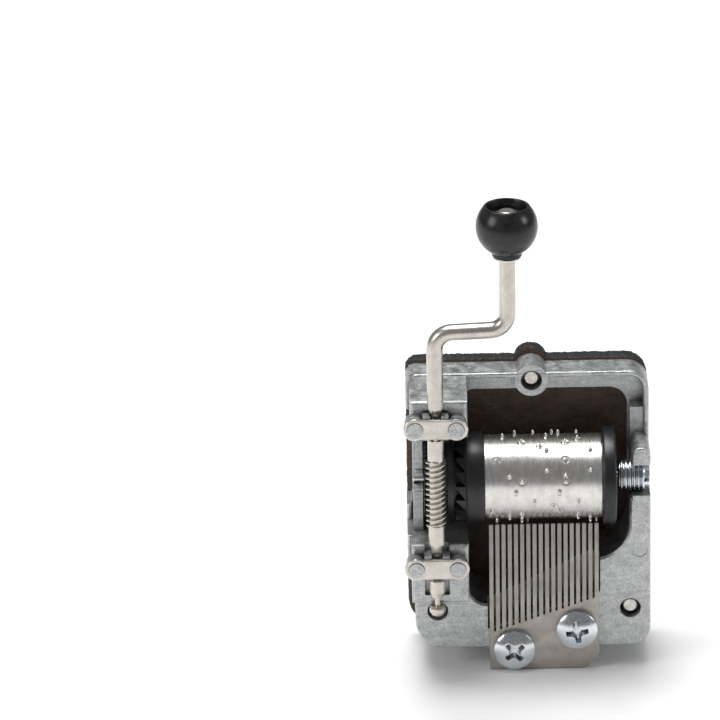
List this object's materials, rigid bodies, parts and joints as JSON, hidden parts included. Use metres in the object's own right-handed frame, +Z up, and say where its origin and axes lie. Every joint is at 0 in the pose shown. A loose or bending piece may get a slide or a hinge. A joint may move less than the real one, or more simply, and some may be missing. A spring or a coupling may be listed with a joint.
{
  "type": "hand crank music box movement",
  "caption": "Hand crank music movement: zinc frame on a hardboard soundboard, pinned drum driven by a worm on the crank, steel comb, ball knob.",
  "frame": {"origin": "middle of the comb tongue's foot in depth, on the centre line of the three board screws", "axes": "+Z up along the crank, -Y towards the player's side with the drum and comb, +X from the crank towards the bearing screw"},
  "size_m": [0.0407, 0.0247, 0.084],
  "materials": {
    "zinc_casting": "raw die-cast zinc, dull and finely grained",
    "hardboard": "dark brown hardboard with scorched, rough edges",
    "zinc_plate": "satin zinc plate",
    "comb_steel": "ground grey-brown steel",
    "bright_zinc": "bright blue-white zinc plate",
    "plated_sleeve": "polished plated steel with raised pins",
    "black_plastic": "black moulded plastic, semi-gloss",
    "bright_steel": "bright drawn steel",
    "nickel_rod": "warm satin nickel plate",
    "nickel_plate": "warm satin nickel plate",
    "black_knob": "black moulded plastic, semi-gloss",
    "lead": "dull lead"
  },
  "bodies": {
    "movement": {"frame": "zinc_casting", "soundboard": "hardboard", "board_screw_top": "zinc_plate", "board_screw_left": "zinc_plate", "board_screw_right": "zinc_plate", "comb": "comb_steel", "comb_screw_left": "bright_zinc", "comb_screw_right": "bright_zinc", "upper_bracket": "nickel_plate", "lower_bracket": "nickel_plate", "bearing_screw": "bright_zinc", "comb_weight_1": "lead", "comb_weight_2": "lead", "comb_weight_3": "lead", "comb_weight_4": "lead", "comb_weight_5": "lead", "comb_weight_6": "lead"},
    "crank": {"crank_shaft": "nickel_rod", "knob_washer": "bright_steel"},
    "knob": {"knob": "black_knob"},
    "drum": {"drum_sleeve": "plated_sleeve", "left_end_cap": "black_plastic", "right_end_cap": "black_plastic", "drum_arbor": "bright_steel", "worm_wheel": "black_plastic"}
  },
  "joints": [
    {"name": "crank_spin", "type": "hinge", "parent": "movement", "child": "crank", "pos_m": [-0.01607, -0.011, 0.034], "axis": [0, 0, -1], "continuous": true},
    {"name": "drum_spin", "type": "hinge", "parent": "movement", "child": "drum", "pos_m": [0, -0.0033, 0.0333], "axis": [-1, 0, 0], "continuous": true},
    {"name": "knob_spin", "type": "hinge", "parent": "crank", "child": "knob", "pos_m": [-0.00417, -0.011, 0.0805], "axis": [0, 0, -1], "continuous": true}
  ],
  "couplings": [
    {"joint": "drum_spin", "follows": "crank_spin", "ratio": 0.047619}
  ]
}
